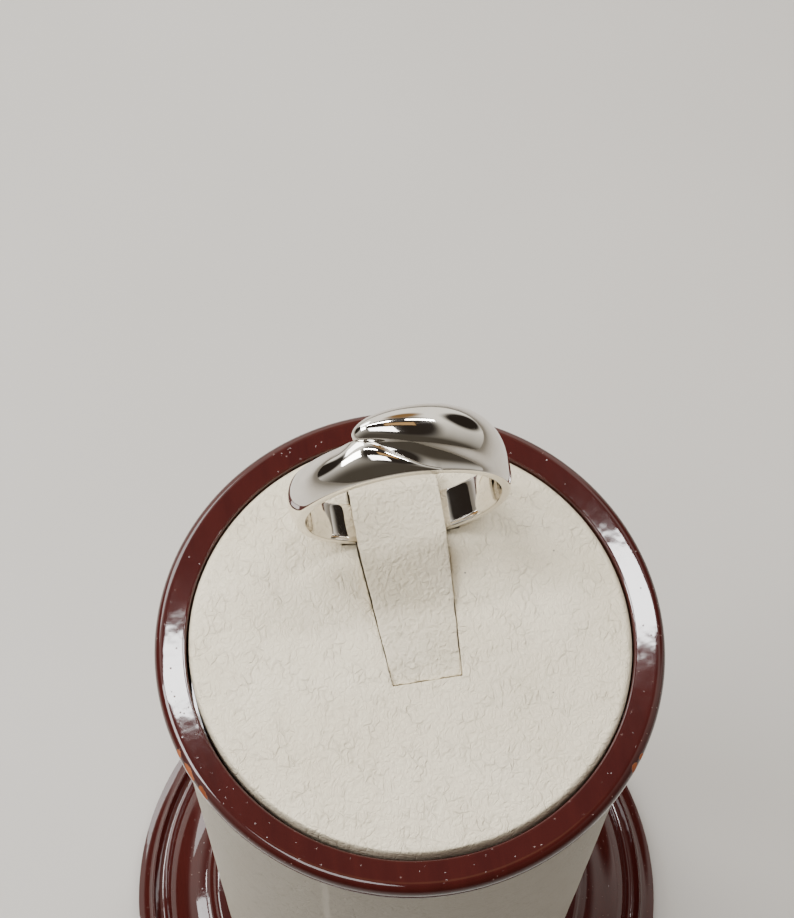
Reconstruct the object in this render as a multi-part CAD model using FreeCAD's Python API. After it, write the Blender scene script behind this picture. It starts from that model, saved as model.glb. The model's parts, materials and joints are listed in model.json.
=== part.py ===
import FreeCAD, Part
import math
import os

# A bypass finger ring held under the leatherette tongue of a turned display stand.
# Millimetres. Origin at the centre of the base's underside, +Z up.
# The tongue lies along Y: its free end points to -Y, its fold is at the +Y end.

# Stand, from the table up
STAND_HEIGHT = 102.0        # table to the flat top of the rim
FELT_THICKNESS = 0.8
FELT_R = 33.5
BASE_R = 35.6
BASE_SHELF_Z = 11.0         # where the column stands on the base
BEAD_R = 32.2               # ridge turned into the base
COLUMN_R = 23.0             # outside of the wrap
WRAP_THICKNESS = 0.7
TUBE_BORE_R = 18.0
SPIGOT_LENGTH = 8.0
SPIGOT_R = 17.95
PLUG_R = 17.98
PLUG_THICKNESS = 12.0

# Rim cup
RIM_R = 24.0
RIM_INNER_R = 21.0
RIM_HEIGHT = 4.2
RIM_ROUND = 1.1             # rounding of the top outer edge
RECESS_DEPTH = 3.4

# Pad
PAD_R = 20.8
PAD_CROWN = 0.6             # pad centre above the rim's top
PAD_SHOULDER_R = 19.4       # where the dome turns down into the side
PAD_SHOULDER_DROP = 0.8     # fall of the dome from centre to shoulder
PAD_SIDE_TOP = -1.5         # side of the pad starts this far below the rim's top
SKIN = 0.7                  # pad leatherette
MARGIN = 0.4                # leatherette turned in below the board
MARGIN_INNER_R = 16.5
BOARD_THICKNESS = 1.4

# Ring, in its own frame: axis along Y, near edge at y = 0, angle counted from the top
BORE_R = 9.05               # ring size 8
EDGE_R = 9.85               # outside radius along both edges of the band
BAND_WIDTH = 3.9
BAND_DOME = 0.5             # how far the band is domed above its edges
CROSSOVER_ANGLE = 105.0     # degrees each side of the top that the shaped part covers
FAR_LOBE_END = -22.0        # angle where the far lobe starts
NEAR_LOBE_END = 20.0        # angle where the near lobe runs out to a point
FAR_LOBE_SWELL = 2.2        # how far the far lobe stands out behind the band

# Seat of the ring and tongue
TONGUE_X = 0.85
LEAN = math.radians(6.0)    # the tongue slopes down to its free end, and the ring leans with it
RING_Y = 9.2
RING_Z = 9.0                # ring centre above the rim's top
COVER_THICKNESS = 0.8
CORE_THICKNESS = 0.4
CORE_HALF_WIDTH = 3.3
TONGUE_HALF_WIDTH = 4.15
TONGUE_TIP_HALF_WIDTH = 3.1
TONGUE_FREE_Y = -4.4
TONGUE_FOLD_Y = 17.4
KERF = 0.2                  # cut round the tongue
BORE_CLEARANCE = 0.05       # tongue above the bore of the ring
FOLD_CLEARANCE = 0.03
SLOT_HALF_WIDTH = 5.9       # slot where the ring sinks in beside the tongue

# Screws
SCREW_R = 1.5
SCREW_HEAD_R = 3.0
SCREW_LENGTH = 16.0
DRIVE_SPAN = 3.2
DRIVE_WIDTH = 0.8
DRIVE_DEPTH = 1.0
BASE_SCREW_SINK = 6.0       # counterbore under each base screw
BASE_SCREW_CIRCLE_R = 11.0
RIM_SCREW_CIRCLE_R = 14.0

UP = FreeCAD.Vector(0, 0, 1)
ALONG_X = FreeCAD.Vector(1, 0, 0)
ALONG_Y = FreeCAD.Vector(0, 1, 0)
ORIGIN = FreeCAD.Vector(0, 0, 0)


def revolved(edges):
    """Solid turned about Z from edges drawn in the XZ plane."""
    face = Part.Face(Part.Wire(edges))
    return face.revolve(ORIGIN, UP, 360)


def chain(*points):
    """Straight edges through (radius, height) points."""
    corners = [FreeCAD.Vector(r, 0, z) for r, z in points]
    return [Part.makeLine(a, b) for a, b in zip(corners, corners[1:])]


def arc(start, middle, end):
    """Arc through three (radius, height) points."""
    points = [FreeCAD.Vector(r, 0, z) for r, z in (start, middle, end)]
    return Part.Arc(*points).toShape()


def tube(outer_r, inner_r, bottom, top):
    """Hollow cylinder about Z."""
    height = top - bottom
    foot = FreeCAD.Vector(0, 0, bottom)
    outer = Part.makeCylinder(outer_r, height, foot)
    return outer.cut(Part.makeCylinder(inner_r, height, foot))


def prism(outline, bottom, top):
    """Upright prism over an (x, y) outline."""
    corners = [FreeCAD.Vector(x, y, bottom) for x, y in outline + outline[:1]]
    return Part.Face(Part.makePolygon(corners)).extrude(UP * (top - bottom))


def pad_surface(radius):
    """Height of the pad's surface above the rim's top at a distance from the centre."""
    return PAD_CROWN - PAD_SHOULDER_DROP * (radius / PAD_SHOULDER_R) ** 2


def screw_body(x, y, head_z, direction):
    """Countersunk wood screw, drive not yet cut, head face at head_z, pointing up (1) or down (-1)."""
    axis = FreeCAD.Vector(0, 0, direction)
    place = FreeCAD.Vector(x, y, head_z)
    head_height = SCREW_HEAD_R - SCREW_R
    tip_height = 2 * SCREW_R
    straight = SCREW_LENGTH - head_height - tip_height
    head = Part.makeCone(SCREW_HEAD_R, SCREW_R, head_height, place, axis)
    shank = Part.makeCylinder(SCREW_R, straight, place + axis * head_height, axis)
    tip = Part.makeCone(SCREW_R, 0, tip_height, place + axis * (head_height + straight), axis)
    return head.fuse(shank).fuse(tip).removeSplitter()


def drive_cross(x, y, head_z, direction):
    """Two crossed slots sunk into a screw's head."""
    low = head_z if direction > 0 else head_z - DRIVE_DEPTH
    blades = []
    for turn in (0, 90):
        blade = Part.makeBox(DRIVE_SPAN, DRIVE_WIDTH, DRIVE_DEPTH)
        blade.translate(FreeCAD.Vector(-DRIVE_SPAN / 2, -DRIVE_WIDTH / 2, 0))
        blade.rotate(ORIGIN, UP, turn)
        blade.translate(FreeCAD.Vector(x, y, low))
        blades.append(blade)
    return blades[0].fuse(blades[1])


def circle_places(circle_r):
    """Three places on a circle."""
    angles = [math.radians(90 + 120 * step) for step in range(3)]
    return [(circle_r * math.cos(a), circle_r * math.sin(a)) for a in angles]


def screw_set(circle_r, head_z, direction):
    """Screw bodies for drilling their holes, and the same screws with their drives cut."""
    places = circle_places(circle_r)
    bodies = [screw_body(x, y, head_z, direction) for x, y in places]
    crosses = [drive_cross(x, y, head_z, direction) for x, y in places]
    screws = [body.cut(cross) for body, cross in zip(bodies, crosses)]
    return Part.makeCompound(bodies), Part.makeCompound(screws)


# ---------------------------------------------------------------- base

def base_felt():
    return Part.makeCylinder(FELT_R, FELT_THICKNESS)


def base_plinth(screw_holes):
    """Turned foot: round edge, raised bead, cove up to the shelf, and a spigot for the tube."""
    foot = FELT_THICKNESS
    edge_top = 3.2
    bead_top = 7.4
    profile = chain((0, foot), (BASE_R - 0.6, foot), (BASE_R, foot + 0.6), (BASE_R, edge_top))
    profile.append(arc((BASE_R, edge_top), (BASE_R - 0.65, 5.2), (BEAD_R + 1.0, 6.3)))
    profile.append(arc((BEAD_R + 1.0, 6.3), (BEAD_R, bead_top), (BEAD_R - 1.1, 6.4)))
    profile.append(arc((BEAD_R - 1.1, 6.4), (27.6, 7.5), (25.2, 9.8)))
    spigot_top = BASE_SHELF_Z + SPIGOT_LENGTH
    profile += chain((25.2, 9.8), (24.4, BASE_SHELF_Z), (SPIGOT_R, BASE_SHELF_Z),
                     (SPIGOT_R, spigot_top), (0, spigot_top), (0, foot))
    plinth = revolved(profile).cut(screw_holes)
    for x, y in circle_places(BASE_SCREW_CIRCLE_R):
        sink = Part.makeCylinder(SCREW_HEAD_R, BASE_SCREW_SINK, FreeCAD.Vector(x, y, foot))
        plinth = plinth.cut(sink)
    return plinth


# ---------------------------------------------------------------- column

COLUMN_TOP = STAND_HEIGHT - RIM_HEIGHT


def column_tube():
    return tube(COLUMN_R - WRAP_THICKNESS, TUBE_BORE_R, BASE_SHELF_Z, COLUMN_TOP)


def column_wrap():
    return tube(COLUMN_R, COLUMN_R - WRAP_THICKNESS, BASE_SHELF_Z, COLUMN_TOP)


def column_plug(bottom, screw_holes):
    """Wooden disc glued in the tube for the screws to bite in."""
    disc = Part.makeCylinder(PLUG_R, PLUG_THICKNESS, FreeCAD.Vector(0, 0, bottom))
    return disc.cut(screw_holes)


# ---------------------------------------------------------------- rim and pad

RECESS_FLOOR = STAND_HEIGHT - RECESS_DEPTH


def top_rim(screw_holes):
    """Turned cup: rounded rim, shallow recess for the pad, spigot for the tube."""
    top = STAND_HEIGHT
    low = top - RIM_HEIGHT
    side_low = low + 0.8
    mid = RIM_ROUND * (1 - math.sqrt(0.5))
    profile = chain((0, RECESS_FLOOR), (RIM_INNER_R, RECESS_FLOOR), (RIM_INNER_R, top - 0.35))
    profile.append(arc((RIM_INNER_R, top - 0.35), (RIM_INNER_R + 0.1, top - 0.1),
                       (RIM_INNER_R + 0.35, top)))
    profile += chain((RIM_INNER_R + 0.35, top), (RIM_R - RIM_ROUND, top))
    profile.append(arc((RIM_R - RIM_ROUND, top), (RIM_R - mid, top - mid), (RIM_R, top - RIM_ROUND)))
    profile += chain((RIM_R, top - RIM_ROUND), (RIM_R, side_low))
    profile.append(arc((RIM_R, side_low), (RIM_R - 0.2, low + 0.25), (RIM_R - 0.7, low)))
    spigot_low = low - SPIGOT_LENGTH
    profile += chain((RIM_R - 0.7, low), (SPIGOT_R, low), (SPIGOT_R, spigot_low),
                     (0, spigot_low), (0, RECESS_FLOOR))
    return revolved(profile).cut(screw_holes)


BOARD_BOTTOM = RECESS_FLOOR + MARGIN
BOARD_TOP = BOARD_BOTTOM + BOARD_THICKNESS


def dome_edges(drop, radius):
    """Top outline of the pad, moved down by drop and in to radius, from the centre outwards."""
    shoulder = (PAD_SHOULDER_R - drop, STAND_HEIGHT + pad_surface(PAD_SHOULDER_R) - drop)
    crown = (0, STAND_HEIGHT + PAD_CROWN - drop)
    half = PAD_SHOULDER_R / 2
    between = (half, STAND_HEIGHT + pad_surface(half) - drop)
    side = (radius, STAND_HEIGHT + PAD_SIDE_TOP)
    bulge = (radius - 0.3, STAND_HEIGHT + (PAD_SIDE_TOP + pad_surface(PAD_SHOULDER_R) - drop) / 2)
    return [arc(crown, between, shoulder), arc(shoulder, bulge, side)]


def window_outline():
    """Cut round the tongue, in (x, y)."""
    tip = TONGUE_TIP_HALF_WIDTH + KERF
    wide = TONGUE_HALF_WIDTH + KERF
    near = TONGUE_FREE_Y - KERF
    return [(TONGUE_X - tip, near), (TONGUE_X + tip, near), (TONGUE_X + wide, 9.0),
            (TONGUE_X + wide, TONGUE_FOLD_Y), (TONGUE_X - wide, TONGUE_FOLD_Y),
            (TONGUE_X - wide, 9.0)]


def slot_outline():
    """Slot across the tongue that the ring sinks into, narrowing towards the free end."""
    narrow = TONGUE_HALF_WIDTH + KERF
    return [(TONGUE_X - narrow, 7.7), (TONGUE_X + narrow, 7.7), (TONGUE_X + SLOT_HALF_WIDTH, 9.9),
            (TONGUE_X + SLOT_HALF_WIDTH, 14.7), (TONGUE_X - SLOT_HALF_WIDTH, 14.7),
            (TONGUE_X - SLOT_HALF_WIDTH, 9.9)]


def with_window(solid):
    """Solid with the tongue's window and the ring's slot cut down to the board."""
    top = STAND_HEIGHT + 2 * PAD_CROWN
    solid = solid.cut(prism(window_outline(), BOARD_TOP, top))
    return solid.cut(prism(slot_outline(), BOARD_TOP, top))


def pad_leatherette():
    """Skin over foam and board, its margin turned in and glued below the board."""
    inner_r = PAD_R - SKIN
    outer = dome_edges(0, PAD_R)
    outer += chain((PAD_R, STAND_HEIGHT + PAD_SIDE_TOP), (PAD_R, RECESS_FLOOR),
                   (MARGIN_INNER_R, RECESS_FLOOR), (MARGIN_INNER_R, BOARD_BOTTOM),
                   (inner_r, BOARD_BOTTOM), (inner_r, STAND_HEIGHT + PAD_SIDE_TOP))
    inner = dome_edges(SKIN, inner_r)
    crown = chain((0, STAND_HEIGHT + PAD_CROWN), (0, STAND_HEIGHT + PAD_CROWN - SKIN))
    return with_window(revolved(Part.sortEdges(outer + inner + crown)[0]))


def pad_foam():
    inner_r = PAD_R - SKIN
    edges = dome_edges(SKIN, inner_r)
    edges += chain((inner_r, STAND_HEIGHT + PAD_SIDE_TOP), (inner_r, BOARD_TOP), (0, BOARD_TOP),
                   (0, STAND_HEIGHT + PAD_CROWN - SKIN))
    return with_window(revolved(Part.sortEdges(edges)[0]))


def pad_board():
    return Part.makeCylinder(PAD_R - SKIN, BOARD_THICKNESS, FreeCAD.Vector(0, 0, BOARD_BOTTOM))


# ---------------------------------------------------------------- tongue

def seated(shape):
    """Shape moved from the ring's own frame to its leaning place on the stand."""
    shape.rotate(ORIGIN, ALONG_X, math.degrees(LEAN))
    shape.translate(FreeCAD.Vector(TONGUE_X, RING_Y, STAND_HEIGHT + RING_Z))
    return shape


def seated_point(y, z):
    """Point of the ring's own mid-plane, on the stand."""
    world_y = RING_Y + y * math.cos(LEAN) - z * math.sin(LEAN)
    world_z = STAND_HEIGHT + RING_Z + y * math.sin(LEAN) + z * math.cos(LEAN)
    return FreeCAD.Vector(TONGUE_X, world_y, world_z)


# Underside of the card core, high enough to pass over the round bore at its corners
CORE_Z = -math.sqrt(BORE_R ** 2 - CORE_HALF_WIDTH ** 2) + BORE_CLEARANCE
COVER_Z = CORE_Z + CORE_THICKNESS
COVER_TOP_Z = COVER_Z + COVER_THICKNESS
BEND_START = BAND_WIDTH + 0.5     # the tongue is flat up to just behind the band
TONGUE_LENGTH = 14.4              # free end ahead of the ring's near edge


def tongue_plan(half_width, tip_half_width):
    """Tapered outline of the tongue as a tall prism."""
    outline = [(TONGUE_X - tip_half_width, TONGUE_FREE_Y), (TONGUE_X + tip_half_width, TONGUE_FREE_Y),
               (TONGUE_X + half_width, 9.0), (TONGUE_X + half_width, TONGUE_FOLD_Y - FOLD_CLEARANCE),
               (TONGUE_X - half_width, TONGUE_FOLD_Y - FOLD_CLEARANCE), (TONGUE_X - half_width, 9.0)]
    return prism(outline, BOARD_TOP, STAND_HEIGHT + RING_Z)


def bezier(start, start_pull, end_pull, end):
    curve = Part.BezierCurve()
    curve.setPoles([start, start_pull, end_pull, end])
    return curve.toShape()


def tongue_cover():
    """Leatherette flap: flat from its free end over the ring, then down to the fold."""
    fold = FreeCAD.Vector(TONGUE_X, TONGUE_FOLD_Y, STAND_HEIGHT + pad_surface(TONGUE_FOLD_Y))
    pull = 1.3
    slope = FreeCAD.Vector(0, math.cos(LEAN), math.sin(LEAN))
    free_top = seated_point(-TONGUE_LENGTH - 1, COVER_TOP_Z)
    free_low = seated_point(-TONGUE_LENGTH - 1, COVER_Z)
    bend_top = seated_point(BEND_START, COVER_TOP_Z)
    bend_low = seated_point(BEND_START, COVER_Z)
    fold_low = fold - UP * COVER_THICKNESS
    edges = [Part.makeLine(free_top, bend_top),
             bezier(bend_top, bend_top + slope * pull, fold - ALONG_Y * pull, fold),
             Part.makeLine(fold, fold_low),
             bezier(fold_low, fold_low - ALONG_Y * pull, bend_low + slope * pull, bend_low),
             Part.makeLine(bend_low, free_low),
             Part.makeLine(free_low, free_top)]
    profile = Part.Face(Part.Wire(edges))
    reach = 2 * TONGUE_HALF_WIDTH
    profile.translate(ALONG_X * -reach)
    slab = profile.extrude(ALONG_X * (2 * reach))
    return slab.common(tongue_plan(TONGUE_HALF_WIDTH, TONGUE_TIP_HALF_WIDTH))


def tongue_core():
    """Springy card strip glued under the flat part of the flap."""
    end = BAND_WIDTH + 0.3
    strip = Part.makeBox(2 * CORE_HALF_WIDTH, TONGUE_LENGTH + 1 + end, CORE_THICKNESS)
    strip.translate(FreeCAD.Vector(-CORE_HALF_WIDTH, -TONGUE_LENGTH - 1, CORE_Z))
    inset = 0.35
    return seated(strip).common(tongue_plan(CORE_HALF_WIDTH, TONGUE_TIP_HALF_WIDTH - inset))


# ---------------------------------------------------------------- ring

def eased(value, start, end):
    """0 before start, 1 after end, smooth between."""
    t = min(1.0, max(0.0, (value - start) / (end - start)))
    return t * t * (3 - 2 * t)


def band_section(angle, near, far, edge_r, rise):
    """Domed cross-section at an angle from the top, between two edges, reaching inside the bore."""
    steps = 8
    fractions = [step / steps for step in range(steps + 1)]
    turn = math.radians(angle)

    def point(y, radius):
        return FreeCAD.Vector(radius * math.sin(turn), y, radius * math.cos(turn))

    def crown_point(fraction):
        sweep = math.pi * fraction
        across = (1 - math.cos(sweep)) / 2
        return point(near + (far - near) * across, edge_r + rise * math.sin(sweep) ** 0.8)

    crown = Part.BSplineCurve()
    points = [crown_point(fraction) for fraction in fractions]
    crown.interpolate(Points=points, Parameters=fractions)
    inside = BORE_R - 0.5
    near_foot = point(near, inside)
    far_foot = point(far, inside)
    return Part.Wire([Part.makeLine(near_foot, points[0]), crown.toShape(),
                      Part.makeLine(points[-1], far_foot), Part.makeLine(far_foot, near_foot)])


def lofted(section, start, end, count):
    """Solid through evenly spaced sections between two angles."""
    angles = [start + (end - start) * index / (count - 1) for index in range(count)]
    return Part.makeLoft([section(angle) for angle in angles], True, False)


def near_lobe_section(angle):
    """Left shank rising into the lobe that tapers to a point along the near edge."""
    taper = min(1.0, (NEAR_LOBE_END - angle) / (NEAR_LOBE_END - FAR_LOBE_END))
    width = 0.25 + (BAND_WIDTH - 0.25) * taper
    rise = BAND_DOME + 0.75 * eased(angle, -CROSSOVER_ANGLE, -35) - 0.85 * eased(angle, -15, 20)
    edge_r = EDGE_R + 0.2 * eased(angle, -60, -20)
    return band_section(angle, 0, width, edge_r, rise)


def far_lobe_section(angle):
    """Right shank swelling into the lobe whose rounded end lies against the far edge."""
    opening = eased(angle, FAR_LOBE_END, NEAR_LOBE_END)
    near = (BAND_WIDTH - 0.4) * (1 - opening)
    tip = math.sqrt(max(0.0, min(1.0, (angle - FAR_LOBE_END) / 18)))
    far = BAND_WIDTH + FAR_LOBE_SWELL * (1 - eased(angle, 32, 82)) * tip
    rise = BAND_DOME + (0.4 + 0.9 * tip) * (1 - eased(angle, 35, CROSSOVER_ANGLE))
    edge_r = EDGE_R + 0.2 * (1 - eased(angle, 45, 90))
    return band_section(angle, near, far, edge_r, rise)


def silver_ring():
    """Plain domed band below, two lobes that pass each other on top."""
    near_lobe = lofted(near_lobe_section, -CROSSOVER_ANGLE, NEAR_LOBE_END, 17)
    far_lobe = lofted(far_lobe_section, FAR_LOBE_END, CROSSOVER_ANGLE, 17)
    shank_face = Part.Face(near_lobe_section(-CROSSOVER_ANGLE))
    shank = shank_face.revolve(ORIGIN, ALONG_Y, 2 * CROSSOVER_ANGLE - 360)
    bore = Part.makeCylinder(BORE_R, 4 * BAND_WIDTH, FreeCAD.Vector(0, -BAND_WIDTH, 0), ALONG_Y)
    return seated(near_lobe.fuse(far_lobe).fuse(shank).cut(bore))


# ---------------------------------------------------------------- all pieces

def build():
    base_holes, base_screws = screw_set(BASE_SCREW_CIRCLE_R, FELT_THICKNESS + BASE_SCREW_SINK, 1)
    rim_holes, rim_screws = screw_set(RIM_SCREW_CIRCLE_R, RECESS_FLOOR, -1)
    top_plug_bottom = COLUMN_TOP - SPIGOT_LENGTH - PLUG_THICKNESS
    bottom_plug_bottom = BASE_SHELF_Z + SPIGOT_LENGTH
    return {
        "base_felt": base_felt(),
        "base_plinth": base_plinth(base_holes),
        "base_screws": base_screws,
        "column_bottom_plug": column_plug(bottom_plug_bottom, base_holes),
        "column_tube": column_tube(),
        "column_wrap": column_wrap(),
        "column_top_plug": column_plug(top_plug_bottom, rim_holes),
        "top_rim": top_rim(rim_holes),
        "rim_screws": rim_screws,
        "pad_board": pad_board(),
        "pad_foam": pad_foam(),
        "pad_leatherette": pad_leatherette(),
        "tongue_cover": tongue_cover(),
        "tongue_core": tongue_core(),
        "silver_ring": silver_ring(),
    }


os.makedirs("parts", exist_ok=True)
for name, shape in build().items():
    shape.exportStep("parts/" + name + ".step")
    print(name, "valid" if shape.isValid() else "NOT VALID", len(shape.Solids), "solids",
          round(shape.Volume, 2), "mm3")
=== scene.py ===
import json
import math

import bmesh
import bpy
from mathutils import Matrix, Vector, noise


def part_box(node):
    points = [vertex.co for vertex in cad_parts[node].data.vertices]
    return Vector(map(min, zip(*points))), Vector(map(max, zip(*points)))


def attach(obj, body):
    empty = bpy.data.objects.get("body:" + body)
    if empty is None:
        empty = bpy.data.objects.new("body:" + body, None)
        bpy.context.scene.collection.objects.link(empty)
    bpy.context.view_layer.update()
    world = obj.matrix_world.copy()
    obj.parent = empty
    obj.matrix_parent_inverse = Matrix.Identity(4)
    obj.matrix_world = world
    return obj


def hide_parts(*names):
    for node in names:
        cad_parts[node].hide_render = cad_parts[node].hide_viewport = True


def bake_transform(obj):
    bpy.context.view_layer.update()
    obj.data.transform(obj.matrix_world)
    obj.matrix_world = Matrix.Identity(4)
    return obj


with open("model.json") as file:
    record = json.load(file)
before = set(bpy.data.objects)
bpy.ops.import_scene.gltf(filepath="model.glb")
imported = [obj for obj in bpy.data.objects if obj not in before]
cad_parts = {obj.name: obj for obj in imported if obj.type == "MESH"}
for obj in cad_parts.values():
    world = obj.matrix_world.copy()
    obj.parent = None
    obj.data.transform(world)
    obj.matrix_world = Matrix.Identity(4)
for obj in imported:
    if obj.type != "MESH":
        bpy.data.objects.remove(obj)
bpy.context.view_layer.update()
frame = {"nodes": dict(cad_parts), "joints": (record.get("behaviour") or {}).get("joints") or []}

bl_info = {
    "name": "Ring on a display stand",
    "version": (1, 0, 0),
    "blender": (4, 5, 0),
    "location": "View3D > Sidebar > Ring stand",
    "description": "Builds a silver bypass ring on the tongue of a turned display stand",
    "category": "Object",
}

# Sizes are in millimetres until placed() scales a piece to metres. Settings are kept in metres.
MM = 0.001


def in_mm(length):
    """Millimetres from metres."""
    return length / MM


def node_box(name):
    """Lowest and highest corner of a CAD node, in millimetres."""
    low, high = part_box(name)
    return Vector(low) / MM, Vector(high) / MM


def joint(name):
    """Row of the frame for a named joint."""
    return next(entry for entry in frame["joints"] if entry["name"] == name)


RIM_LOW, RIM_HIGH = node_box("top_rim")
PAD_LOW, PAD_HIGH = node_box("pad_leatherette")
WRAP_LOW, WRAP_HIGH = node_box("column_wrap")
BASE_LOW, BASE_HIGH = node_box("base_plinth")
FELT_LOW, FELT_HIGH = node_box("base_felt")
TONGUE_LOW, TONGUE_HIGH = node_box("tongue_cover")
RIM_TOP = RIM_HIGH.z
TONGUE_X = (TONGUE_LOW.x + TONGUE_HIGH.x) / 2
FOLD = Vector(joint("tongue_hinge")["pos_m"]) / MM
SLIDE = Vector(joint("ring_slide")["axis"])
LEAN = math.atan2(-SLIDE.z, -SLIDE.y)
RING_Y = 9.2              # where the ring's near edge crosses its axis
RING_RISE = 9.0           # height of the ring's axis above the rim
RING_CENTRE = Vector((TONGUE_X, RING_Y, RIM_TOP + RING_RISE))


def eased(value, start, end):
    """0 before start, 1 after end, smooth between."""
    t = min(1.0, max(0.0, (value - start) / (end - start)))
    return t * t * (3 - 2 * t)


def mixed(a, b, weight):
    """a at weight 0 and b at weight 1."""
    return a + (b - a) * weight


# ------------------------------------------------------------------ materials

def linear(colour):
    """Linear colour from an sRGB hex code. A colour setting is linear already."""
    if not isinstance(colour, str):
        return tuple(colour)
    channels = [int(colour[place:place + 2], 16) / 255 for place in (1, 3, 5)]
    return [c / 12.92 if c <= 0.04045 else ((c + 0.055) / 1.055) ** 2.4
            for c in channels] + [1.0]


def per_mm(size):
    """Texture scale that makes one repeat of a pattern this many millimetres long."""
    return 1 / (size * MM)


def add(tree, kind, inputs=(), output=0, stops=(), **settings):
    """Adds a node, sets its settings and ramp stops, fills its inputs with values or links,
    and gives back one of its outputs."""
    made = tree.nodes.new("ShaderNode" + kind)
    for name, value in settings.items():
        setattr(made, name, value)
    for index, (position, colour) in enumerate(stops):
        made.color_ramp.elements[index].position = position
        made.color_ramp.elements[index].color = linear(colour)
    for name, value in dict(inputs).items():
        socket = made.inputs[name]
        if isinstance(value, bpy.types.NodeSocket):
            tree.links.new(value, socket)
        else:
            socket.default_value = value
    return made.outputs[output]


MIX_COLOUR = 2            # the Mix node's colour output, and below it its two colour inputs
FIRST, SECOND = 6, 7


def new_material(name, **constants):
    """Material, its node tree, its Principled surface, and Object coordinates to draw it with."""
    material = bpy.data.materials.new(name)
    material.use_nodes = True
    tree = material.node_tree
    surface = tree.nodes["Principled BSDF"]
    for socket, value in constants.items():
        surface.inputs[socket.replace("_", " ")].default_value = value
    return material, tree, surface, add(tree, "TexCoord", output="Object")


def wired(tree, surface, **links):
    """Links sources to the surface's inputs, named with _ for a space."""
    for socket, source in links.items():
        tree.links.new(source, surface.inputs[socket.replace("_", " ")])


def polished_silver():
    """Sterling silver, cast, then buffed: a near mirror with hairlines and patches of haze."""
    settings = bpy.context.scene.ring_finish
    material, tree, surface, place = new_material("polished_silver", Metallic=1.0)
    tone = add(tree, "TexNoise", {"Vector": place, "Scale": per_mm(4.0), "Detail": 3.0})
    colour = add(tree, "ValToRGB", {"Fac": tone},
                 stops=((0.3, settings.silver_shade), (0.7, settings.silver)))
    # Buffing haze in soft patches, and hairlines drawn far coarser than the micron-wide real ones
    patches = add(tree, "TexNoise", {"Vector": place, "Scale": per_mm(2.2), "Detail": 6.0})
    haze = add(tree, "MapRange", {"Value": patches, "From Min": 0.35, "From Max": 0.8,
                                  "To Min": 0.035, "To Max": 0.11},
               interpolation_type="SMOOTHSTEP")
    drawn = add(tree, "Mapping", {"Vector": place, "Rotation": (-LEAN, 0, 0),
                                  "Scale": (0.12, 4.0, 0.12)})
    hairlines = add(tree, "TexNoise", {"Vector": drawn, "Scale": per_mm(1.0), "Detail": 4.0,
                                       "Roughness": 0.6})
    scratched = add(tree, "MapRange", {"Value": hairlines, "From Min": 0.55, "From Max": 0.8,
                                       "To Min": 0.0, "To Max": 0.07},
                    interpolation_type="SMOOTHSTEP")
    rough = add(tree, "Math", {0: haze, 1: scratched}, operation="ADD")
    ripple = add(tree, "TexNoise", {"Vector": place, "Scale": per_mm(3.0), "Detail": 1.0})
    normal = add(tree, "Bump", {"Height": ripple, "Distance": 0.006 * MM, "Strength": 0.5})
    normal = add(tree, "Bump", {"Height": hairlines, "Distance": 0.0008 * MM, "Strength": 0.5,
                                "Normal": normal})
    wired(tree, surface, Base_Color=colour, Roughness=rough, Normal=normal)
    return material


# Colour painted into the leatherette's creases: painted shade
PAINTED_CREASE_SHADE = "#8E8573"
LINT_SHADE = "#5B564C"
BEND_SIZE = 1.6           # millimetres between the bends of a crease
BEND_REACH = 0.75         # millimetres that a crease is pushed aside


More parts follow.
